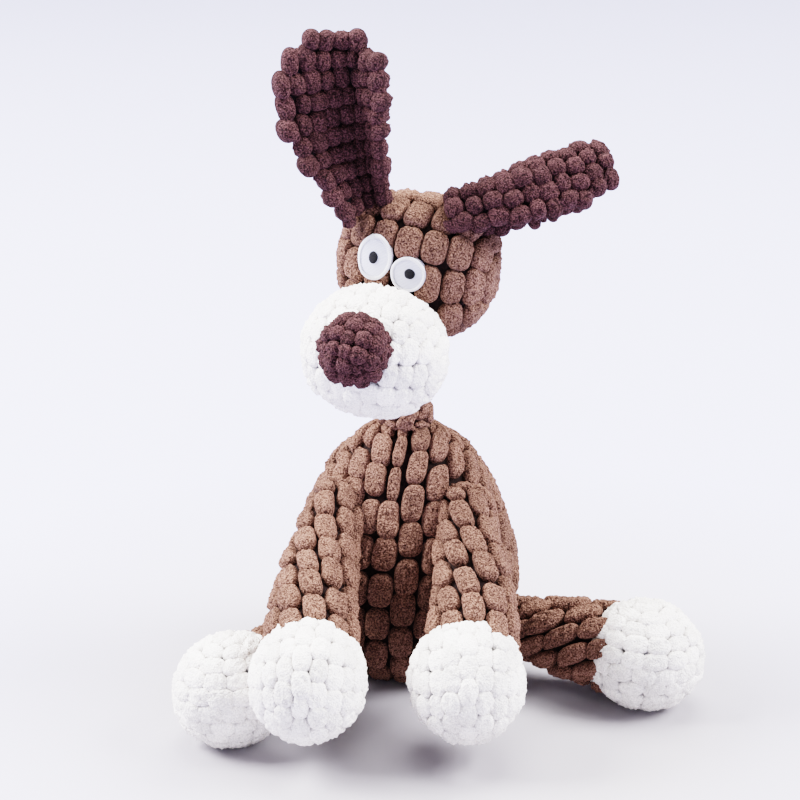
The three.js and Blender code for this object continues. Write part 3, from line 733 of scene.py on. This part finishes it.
def new_material(name, roughness, sheen=0.0, sheen_tint=(1, 1, 1)):
    material = bpy.data.materials.new(name)
    material.use_nodes = True
    shader = material.node_tree.nodes["Principled BSDF"]
    shader.inputs["Roughness"].default_value = roughness
    shader.inputs["Sheen Weight"].default_value = sheen
    shader.inputs["Sheen Roughness"].default_value = SHEEN_ROUGHNESS
    shader.inputs["Sheen Tint"].default_value = (*sheen_tint, 1)
    shader.inputs["Specular IOR Level"].default_value = SPECULAR
    return material, material.node_tree, shader


# Pile: grain of its curls, fibres and patches of slightly different colour
CURL_GRAIN = 0.62 * MM
FIBRE_GRAIN = 0.48 * MM
PATCH_GRAIN = 9 * MM

# Pile: how much curls shade fibres, and where pits turn to body, body to tips and patch to patch
CURL_SHADE = 0.35
PIT_TO_BODY = 0.16, 0.3
BODY_TO_TIP = 0.29, 0.48
PATCH_TO_PATCH = 0.3, 0.7

# Pile: tones of the tufts and patches as shares of the colour, and bumps as depth and strength
TUFT_TONES = 0.9, 1.1
PATCH_TONES = 0.88, 1.12
CURL_STRENGTH = 0.9
FIBRE_BUMP = 0.2 * MM, 0.6
CLOTH_ROUGHNESS = 0.95

# Satin: grain of its fibres, lowest and highest of a thread's wave with them, and its bump
SATIN_ROUGHNESS = 0.6
SATIN_GRAIN = 0.35 * MM
THREAD_ENDS = -0.8, 1.4
THREAD_BUMP = 0.2 * MM, 0.8


def pile_material(name, tip, body, pit, root_shade, foot=(0.1, 0.5), depth=0.45 * MM, sheen=0.45):
    """Short curly pile: light tips and dark pits, and painted shade in the root's colour low on each tuft,
    where the gaps between tufts lie.
    """
    material, tree, shader = new_material(name, CLOTH_ROUGHNESS, sheen, tip)
    curls = cells(tree, CURL_GRAIN)
    fibres = noisy(tree, FIBRE_GRAIN)
    patches = noisy(tree, PATCH_GRAIN, detail=3)
    on_surface(tree, curls, fibres, patches)
    crowns = calculated(tree, "SUBTRACT", fibres, calculated(tree, "MULTIPLY", curls, CURL_SHADE))
    speckled = mixed(tree, spread(tree, crowns, *PIT_TO_BODY), pit, body)
    speckled = mixed(tree, spread(tree, crowns, *BODY_TO_TIP), speckled, tip)
    tuft_tone = spread(tree, attribute(tree, "tint"), -1, 1, *TUFT_TONES)
    patch_tone = spread(tree, patches, *PATCH_TO_PATCH, *PATCH_TONES)
    tone = calculated(tree, "MULTIPLY", tuft_tone, patch_tone)
    toned = tree.nodes.new("ShaderNodeHueSaturation")
    tree.links.new(speckled, toned.inputs["Color"])
    tree.links.new(tone, toned.inputs["Value"])
    # Painted shade: each tuft turns to the dark root colour towards its foot, in the gaps between tufts
    rise = spread(tree, attribute(tree, "rise"), *foot)
    tree.links.new(mixed(tree, rise, root_shade, toned.outputs["Color"]), shader.inputs["Base Color"])
    hollows = calculated(tree, "MULTIPLY", curls, -1)
    bumped(tree, shader, (hollows, depth, CURL_STRENGTH), (fibres, *FIBRE_BUMP))
    return material


def cloudy_material(name, dark, light, surface, grain, bump=None, ends=(0, 1)):
    """Two colours in clouds; surface is roughness and sheen, grain is what noisy takes, and bump is a
    depth and a strength."""
    material, tree, shader = new_material(name, *surface)
    clouds = noisy(tree, *grain)
    on_surface(tree, clouds)
    tree.links.new(mixed(tree, spread(tree, clouds, *ends), dark, light), shader.inputs["Base Color"])
    if bump:
        bumped(tree, shader, (clouds, *bump))
    return material


def satin_material(name, light, dark, rim, sheen):
    """Satin stitch: threads side by side, whose phase the mesh carries, and a rim of its own colour."""
    material, tree, shader = new_material(name, SATIN_ROUGHNESS, sheen)
    wave = calculated(tree, "SINE", attribute(tree, "tint"), 0)
    fibres = noisy(tree, SATIN_GRAIN, detail=3)
    on_surface(tree, fibres)
    thread = spread(tree, calculated(tree, "ADD", wave, fibres), *THREAD_ENDS)
    filled = mixed(tree, thread, dark, light)
    edge = mixed(tree, thread, light, rim)
    tree.links.new(mixed(tree, attribute(tree, "rise"), filled, edge), shader.inputs["Base Color"])
    bumped(tree, shader, (thread, *THREAD_BUMP))
    return material


# Root colours are painted shade at the tufts' feet; the white's grey root paints the shade in its dimples
LIGHT_BROWN = pile_material(
    "light_brown_pile", tip=(0.264, 0.149, 0.112), body=(0.123, 0.0615, 0.0435), pit=(0.033, 0.013, 0.009),
    root_shade=(0.007, 0.0025, 0.0025),
)
DARK_BROWN = pile_material(
    "dark_brown_pile", tip=(0.103, 0.048, 0.049), body=(0.041, 0.016, 0.017), pit=(0.011, 0.0045, 0.005),
    root_shade=(0.026, 0.011, 0.012), foot=(0, 0.25),
)
WHITE = pile_material(
    "white_pile", tip=(0.97, 0.93, 0.885), body=(0.85, 0.81, 0.77), pit=(0.68, 0.65, 0.62),
    root_shade=(0.36, 0.35, 0.35), foot=(0.35, 0.86), depth=0.35 * MM, sheen=0.1,
)

# Knitted backings, dark between their stitches and darkened further as painted shade in the gaps between
# tufts, and the matted strands of the filling
KNIT = dict(surface=(CLOTH_ROUGHNESS, 0), grain=(0.8 * MM, 3), bump=(0.3 * MM, 0.6), ends=(0.35, 0.65))
BROWN_BACKING_AND_SHADE = cloudy_material("brown_backing_and_shade", (0.007, 0.003, 0.003), (0.018, 0.009, 0.008), **KNIT)
DARK_BACKING_AND_SHADE = cloudy_material("dark_backing_and_shade", (0.004, 0.002, 0.003), (0.008, 0.004, 0.005), **KNIT)
WHITE_BACKING_AND_SHADE = cloudy_material("white_backing_and_shade", (0.42, 0.41, 0.42), (0.6, 0.59, 0.59), **KNIT)
FIBRE = cloudy_material(
    "fibre_filling", (0.74, 0.74, 0.72), (0.93, 0.93, 0.91),
    surface=(1, 0.2), grain=(1.2 * MM, 5, 0.8), bump=(1 * MM, 0.8),
)

# Satin stitch of the eyes
EYE_WHITE = satin_material(
    "eye_white_satin", light=(0.72, 0.74, 0.86), dark=(0.5, 0.52, 0.66), rim=(0.97, 0.97, 1), sheen=0.1,
)
EYE_BLACK = satin_material(
    "eye_black_satin", light=(0.012, 0.012, 0.016), dark=(0.003, 0.003, 0.005), rim=(0.008, 0.008, 0.01),
    sheen=0,
)


def stuffed(obj, node):
    """Hides the node's own part, for which this soft piece stands."""
    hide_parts(node)
    return obj


def filling(name, form, node):
    """Lumpy filling under a form's cloth."""
    cloth = Cloth(name, FIBRE, FIBRE)
    grid = skin_grid(form, -FILL_DEPTH, rows=FILL_ROWS, columns=FILL_COLUMNS)
    away = grid - grid.mean(axis=(0, 1))
    away /= np.maximum(np.linalg.norm(away, axis=-1, keepdims=True), TINY)
    lumps = curl(grid / LUMP_STRETCH) * LUMP_DEPTH - FILL_DRAWN_IN
    cloth.skin(grid + away * lumps[..., None], 0, closed=True)
    obj = cloth.make(floor=FILL_DEPTH if name.startswith("torso") else None)
    return stuffed(obj, node)


def outside(*forms, margin):
    """Keeps tufts whose middles are not deeper than the margin in any of the forms."""
    return lambda points: np.all([form.depth(points) < margin for form in forms], axis=0)


def make_bobbled(name, form, kind, pile, backing, clear, body, floor=None):
    """Round piece of bobbled cloth, with its filling."""
    cloth = Cloth(f"{name}_cloth", pile, backing)
    centres, place = wales_around(form, kind)
    cloth.tufts(kind, centres, place, keep=clear)
    cloth.skin(skin_grid(form, -PILE), closed=True)
    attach(stuffed(cloth.make(floor), f"{name}_skin"), body)
    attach(filling(f"{name}_filling", form, f"{name}_stuffing"), body)


TORSO = torso_form()
NECK = neck_form()
HEAD = head_part((0, 0, 0), HEAD_HALF, HEAD_SQUARENESS)
MUZZLE = head_part(MUZZLE_PLACE, MUZZLE_HALF, MUZZLE_SQUARENESS)
NOSE = head_part(NOSE_PLACE, NOSE_HALF, ROUND)
SLEEVES = {name: leg_form(name) for name in LEGS}
PAWS = {name: paw_form(name) for name in LEGS}


def make_torso():
    front = -np.pi / 2
    for side, way in (("left", 1), ("right", -1)):
        cloth = Cloth(f"torso_{side}_cloth", LIGHT_BROWN, BROWN_BACKING_AND_SHADE)
        back = front + way * np.pi
        centres, place = wales_along(
            TORSO, CORN, front, back, FIRST_WALES[side], sewn_low=False, dart=DART_FROM * TORSO.s[-1]
        )
        cloth.tufts(CORN, centres, place, keep=outside(*SLEEVES.values(), margin=BURIED["torso"]))
        cloth.skin(skin_grid(TORSO, -PILE, (min(front, back), max(front, back))))
        obj = stuffed(cloth.make(floor=0), f"torso_{side}_panel")
        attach(obj, "torso")
    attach(filling("torso_filling", TORSO, "torso_stuffing"), "torso")


def make_neck():
    cloth = Cloth("neck_cloth", LIGHT_BROWN, BROWN_BACKING_AND_SHADE)
    centres, place = wales_along(NECK, NECK_CORN, np.pi / 2, 5 * np.pi / 2)
    cloth.tufts(NECK_CORN, centres, place, keep=outside(HEAD, margin=BURIED["neck"]))
    cloth.skin(skin_grid(NECK, -PILE), closed=True)
    obj = stuffed(cloth.make(), "neck_sleeve")
    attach(obj, "neck")
    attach(filling("neck_filling", NECK, "neck_stuffing"), "neck")


def distance_to_eyes(points):
    """How far points are from the nearer eye's middle: 1 on its rim, endless at the head's back."""
    local = (points - HEAD_MIDDLE) @ HEAD_AXES.T
    ways = [(local[..., [0, 2]] / MM - eye["place"]) / eye["half"] for eye in EYES.values()]
    distance = np.min([np.linalg.norm(way, axis=-1) for way in ways], axis=0)
    return np.where(local[..., 1] > 0, np.inf, distance)


def pressed_by_eyes(place):
    """The same place, with the tufts pressed down where an eye is sewn on."""
    def pressed(across, along, height):
        distance = distance_to_eyes(place(across, along, np.zeros_like(height)))
        free = np.clip((distance - PRESSED_SHARE) / PRESS_FADE, 0, 1)
        return place(across, along, height * free + np.minimum(height, -PRESSED) * (1 - free))
    return pressed


def make_head():
    around = HEAD.a[-1]
    centres, place = wales_around(HEAD, CORN)
    clear = outside(MUZZLE, NECK, margin=BURIED["head"])
    for side, sign in (("front", -1), ("back", 1)):
        cloth = Cloth(f"head_{side}_cloth", LIGHT_BROWN, BROWN_BACKING_AND_SHADE)

        def on_side(points, sign=sign):
            on_this_side = (points - HEAD_MIDDLE) @ HEAD_AXES[1] * sign > 0
            return on_this_side & clear(points) & (distance_to_eyes(points) > UNDER_EYE_SHARE)

        cloth.tufts(CORN, centres, pressed_by_eyes(place), keep=on_side)
        quarter = around / 4
        middle = around / 2 if sign < 0 else 0
        cloth.skin(skin_grid(HEAD, -PILE, (middle - quarter, middle + quarter)))
        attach(stuffed(cloth.make(), f"head_{side}_panel"), "head")
    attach(filling("head_filling", HEAD, "head_stuffing"), "head")


def make_muzzle():
    clear = outside(HEAD, NOSE, margin=BURIED["muzzle"])
    make_bobbled("muzzle", MUZZLE, WHITE_BOBBLE, WHITE, WHITE_BACKING_AND_SHADE, clear, "head")


def make_nose():
    clear = outside(MUZZLE, margin=BURIED["nose"])
    make_bobbled("nose", NOSE, NOSE_BOBBLE, DARK_BROWN, DARK_BACKING_AND_SHADE, clear, "head")


def head_front(across, up, lift):
    """Points on the front of the head, in its own across and up, lifted off it."""
    half = [size + lift for size in HEAD_HALF]
    left = 1 - np.abs(across / half[0]) ** HEAD_SQUARENESS - np.abs(up / half[2]) ** HEAD_SQUARENESS
    depth = -half[1] * np.clip(left, 0, 1) ** (1 / HEAD_SQUARENESS)
    return np.stack([across, depth, up], axis=-1)


def make_eye(side):
    """Eye patch and pupil, whose last rings are tucked into the head."""
    eye = EYES[side]
    spokes = np.linspace(0, 2 * np.pi, EYE_SPOKES, endpoint=False)
    share, turn = np.meshgrid(np.linspace(0, 1, EYE_RINGS), spokes, indexing="ij")
    out = np.sin(share * np.pi / 2)
    in_rim = np.clip((out - EYE_RIM_SHARE) / (1 - EYE_RIM_SHARE), 0, 1)
    rim_rise = np.sqrt(np.clip(1 - (2 * in_rim - 1) ** 2, 0, 1)) * (in_rim > 0)
    stitches = 1 + STITCH_DEPTH * np.sin(turn * STITCHES_ROUND_EYE)
    skirt = np.zeros_like(share)
    skirt[-1] = -EYE_SKIRT
    patch_rise = EYE_LIFT + rim_rise * stitches * EYE_RIM_RISE + skirt
    pupil_rise = EYE_LIFT + PUPIL_RISE * np.sqrt(np.clip(1 - out**PUPIL_DOME, 0, 1)) + skirt / 2
    wobble = 1 + sum(size * np.sin(waves * turn + phase) for size, waves, phase in EYE_WOBBLE)
    for name, place, half, rise, slot, material in (
        ("eye_patch", eye["place"], eye["half"], patch_rise, "eye_white", EYE_WHITE),
        ("pupil", eye["pupil"], eye["pupil_half"], pupil_rise, "eye_black", EYE_BLACK),
    ):
        across = place[0] * MM + half[0] * MM * out * np.cos(turn) * wobble
        up = place[1] * MM + half[1] * MM * out * np.sin(turn) * wobble
        cloth = Cloth(f"{name}_{side}_stitching", material, material)
        cloth.skin(HEAD_MIDDLE + head_front(across, up, rise) @ HEAD_AXES, 0, closed=True)
        phase = np.where(in_rim > 0, turn * STITCHES_ROUND_EYE, up / STITCH_PHASE_LENGTH)
        cloth.tint = [phase.ravel()]
        cloth.rise = [(in_rim > 0).astype(float).ravel()]
        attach(stuffed(cloth.make(), f"{name}_{side}"), "head")


def ear_rows(ear):
    """Middles of the bobbles on an ear's leaf, row by row from the root."""
    across, along = DARK_BOBBLE["pitch"]
    centres = []
    rows = round(ear.length / along)
    pitch = ear.length / (rows - 1 + EAR_ROW_FIRST + EAR_ROW_LAST)
    for row in range(rows):
        place = (row + EAR_ROW_FIRST) * pitch
        half = float(ear.half_width(place))
        count = max(2, round(2 * half / across))
        shift = ((row % 2) - 1 / 2) * EAR_ROW_STAGGER
        steps = (np.arange(count) + 1 / 2 + shift) * 2 / count - 1
        centres += [(step * half + ear.crease, place, 1) for step in steps]
    return centres


def make_ear(side):
    """Both leaves take the same random draws, so that each bobble closes on its twin in the other leaf."""
    ear = Ear(side)
    draws = rng.bit_generator.state
    for leaf, sign in (("inner", 1), ("outer", -1)):
        rng.bit_generator.state = draws
        cloth = Cloth(f"ear_{side}_{leaf}_cloth", DARK_BROWN, DARK_BACKING_AND_SHADE)
        centres = ear_rows(ear)

        def place(arc, along, h, sign=sign):
            return ear.at(arc, along, sign * (EAR_HALF_THICKNESS + h))

        cloth.tufts(DARK_BOBBLE, centres, place)
        if leaf == "outer":
            points, ways, outs = ear.outline(RIM_BOBBLE["pitch"][1])

            def rim_place(u, v, h):
                off = (h - RIM_SUNK)[..., None]
                flat = points[:, None] + ways[:, None] * v[..., None] + outs[:, None] * off
                return ear.at(flat[..., 0], flat[..., 1], u)

            cloth.tufts(RIM_BOBBLE, np.tile([0, 0, 1], (len(points), 1)), rim_place)
        along = np.linspace(-EAR_ROOT_LAP, ear.length - EAR_HEM, EAR_SKIN_ROWS)[:, None]
        shares = np.linspace(-1, 1, EAR_SKIN_COLUMNS)
        arc = (ear.half_width(along) - EAR_HEM) * shares + ear.crease
        cloth.skin(ear.at(arc, along, sign * EAR_SKIN_LIFT))
        obj = stuffed(cloth.make(), f"ear_{side}_{leaf}")
        start, end = ear.at(0, 0, 0), ear.at(0, EAR_BEND, 0)
        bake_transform(obj)


def make_leg(name):
    """Sleeve and filling of a leg, and a paw on the leg."""
    body = f"{name}_leg"
    form, paw = SLEEVES[name], PAWS[name]
    cloth = Cloth(f"{name}_sleeve_cloth", LIGHT_BROWN, BROWN_BACKING_AND_SHADE)
    centres, place = wales_along(form, SMALL_CORN, np.pi, 3 * np.pi)
    cloth.tufts(SMALL_CORN, centres, place, keep=outside(paw, margin=BURIED["sleeve"]))
    cloth.skin(skin_grid(form, -PILE), closed=True)
    obj = stuffed(cloth.make(floor=0), f"{name}_sleeve")
    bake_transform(obj)
    fibre = filling(f"{name}_filling", form, f"{name}_stuffing")
    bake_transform(fibre)
    clear = outside(form, margin=BURIED["paw"])
    make_bobbled(f"{name}_paw", paw, WHITE_BOBBLE, WHITE, WHITE_BACKING_AND_SHADE, clear, body, floor=0)


def dress_squeaker():
    """The squeaker keeps its own solids, and they get their milky plastic here."""
    moulded = dict(grain=(4 * MM, 3), bump=(0.1 * MM, 0.2))
    shell = cloudy_material(
        "squeaker_plastic", (0.74, 0.77, 0.8), (0.86, 0.88, 0.9), surface=(0.35, 0), **moulded
    )
    film = cloudy_material("reed_film", (0.48, 0.56, 0.7), (0.6, 0.68, 0.8), surface=(0.2, 0), **moulded)
    dressed = dict(squeaker_cup=shell, squeaker_cap=shell, squeaker_reed_tube=shell, squeaker_reed=film)
    for node, material in dressed.items():
        frame["nodes"][node].data.materials.clear()
        frame["nodes"][node].data.materials.append(material)


# Floor of paper that curves up all round into a low wall, in metres
FLOOR_RADIUS, FLOOR_BEND, WALL_HEIGHT = 6, 1.2, 3.4
FLOOR_SPOKES, BEND_STEPS = 96, 24

# Paper: its colour by the toy, darker and greyer as a painted shadow, its colours away from it, and where
# they meet
PAPER_ROUGHNESS = 0.9
PAPER_GRAIN = 0.5
PAPER_SHADOW = (0.4, 0.385, 0.42)
PAPER_FAR = (0.47, 0.485, 0.73), (0.5, 0.515, 0.76)
PAPER_TURNS_BLUE = 0.08, 0.24
WALL_COLOURS = (0.86, 0.86, 0.88), (0.9, 0.9, 0.92)


def paper_material():
    """Paper that is bluer away from the toy, and grey and darker by it as a painted shadow."""
    material, tree, shader = new_material("paper", PAPER_ROUGHNESS)
    cloud = noisy(tree, PAPER_GRAIN)
    on_surface(tree, cloud)
    far = mixed(tree, cloud, *PAPER_FAR)
    coordinates = tree.nodes.new("ShaderNodeTexCoord")
    way_off = tree.nodes.new("ShaderNodeVectorMath")
    way_off.operation = "LENGTH"
    tree.links.new(coordinates.outputs["Object"], way_off.inputs[0])
    # Painted shadow: near the floor's middle, where the toy stands, the paper takes the darker grey shadow
    # colour
    away = spread(tree, way_off.outputs["Value"], *PAPER_TURNS_BLUE)
    tree.links.new(mixed(tree, away, PAPER_SHADOW, far), shader.inputs["Base Color"])
    return material


def make_stage():
    bend = np.linspace(0, np.pi / 2, BEND_STEPS)
    radii = np.concatenate([[0], FLOOR_RADIUS + FLOOR_BEND * np.sin(bend), [FLOOR_RADIUS + FLOOR_BEND]])
    heights = np.concatenate([[0], FLOOR_BEND * (1 - np.cos(bend)), [WALL_HEIGHT]])
    turn = np.linspace(0, 2 * np.pi, FLOOR_SPOKES, endpoint=False)
    radii, heights, turn = np.broadcast_arrays(radii[:, None], heights[:, None], turn[None])
    grid = np.stack([radii * np.cos(turn), radii * np.sin(turn), heights], axis=-1)
    paper = paper_material()
    wall = cloudy_material("wall", *WALL_COLOURS, surface=(PAPER_ROUGHNESS, 0), grain=(PAPER_GRAIN,))
    cloth = Cloth("floor", paper, wall)
    cloth.skin(grid[:2], 0, closed=True)
    cloth.skin(grid[1:], 1, closed=True)
    cloth.make()


# Softboxes: place and size in metres, and watts
SOFTBOXES = [("left", (-1.4, 0, 1.25), 0.9, 112), ("right", (1.4, 0.05, 1.25), 0.9, 78)]
SOFTBOX_COLOUR = (0.99, 0.98, 1)

# Suns: where each stands, its strength, and its angle in degrees
SUNS = [("top", (0, 0.3, 1), 4, 40), ("key", (-0.6, 0.5, 0.8), 0.9, 15), ("front", (0.1, -1, 0.7), 0.36, 60)]
SUN_COLOUR = (1, 0.99, 0.98)

# Light from all round, and the height that the lamps aim at
AMBIENT_COLOUR = (0.96, 0.96, 1)
AMBIENT_STRENGTH = 0.11
AIM_HEIGHT = 90 * MM


def add_lamp(name, kind, place, colour):
    lamp = bpy.data.lights.new(name, kind)
    lamp.color = colour
    obj = bpy.data.objects.new(name, lamp)
    bpy.context.scene.collection.objects.link(obj)
    obj.location = place
    aim = Vector(TORSO_FOOT + [0, 0, AIM_HEIGHT]) - Vector(place)
    obj.rotation_mode = "QUATERNION"
    obj.rotation_quaternion = aim.to_track_quat("-Z", "Y")
    return lamp


def make_lights():
    for name, place, size, power in SOFTBOXES:
        lamp = add_lamp(name, "AREA", place, SOFTBOX_COLOUR)
        lamp.energy = power
        lamp.size = size
    for name, place, strength, angle in SUNS:
        sun = add_lamp(name, "SUN", place, SUN_COLOUR)
        sun.energy = strength
        sun.angle = math.radians(angle)
    world = bpy.data.worlds.new("studio")
    world.use_nodes = True
    background = world.node_tree.nodes["Background"]
    background.inputs["Color"].default_value = (*AMBIENT_COLOUR, 1)
    background.inputs["Strength"].default_value = AMBIENT_STRENGTH
    bpy.context.scene.world = world
    bpy.context.scene.view_settings.view_transform = "Filmic"
    bpy.context.scene.view_settings.look = "High Contrast"


def make_camera():
    azimuth, elevation = math.radians(CAMERA_AZIMUTH), math.radians(CAMERA_ELEVATION)
    level = math.cos(elevation)
    back = Vector((math.sin(azimuth) * level, -math.cos(azimuth) * level, math.sin(elevation)))
    camera = bpy.data.objects.new("camera", bpy.data.cameras.new("camera"))
    camera.data.lens = CAMERA_LENS
    camera.data.sensor_width = CAMERA_SENSOR
    camera.location = Vector(TORSO_FOOT + CAMERA_TARGET) + back * CAMERA_DISTANCE
    camera.rotation_mode = "QUATERNION"
    camera.rotation_quaternion = (-back).to_track_quat("-Z", "Y")
    bpy.context.scene.collection.objects.link(camera)
    bpy.context.scene.camera = camera


make_torso()
make_neck()
make_head()
make_muzzle()
make_nose()
for ear_side in EARS:
    make_ear(ear_side)
for eye_side in EYES:
    make_eye(eye_side)
for leg_name in LEGS:
    make_leg(leg_name)
dress_squeaker()
make_stage()
make_lights()
make_camera()
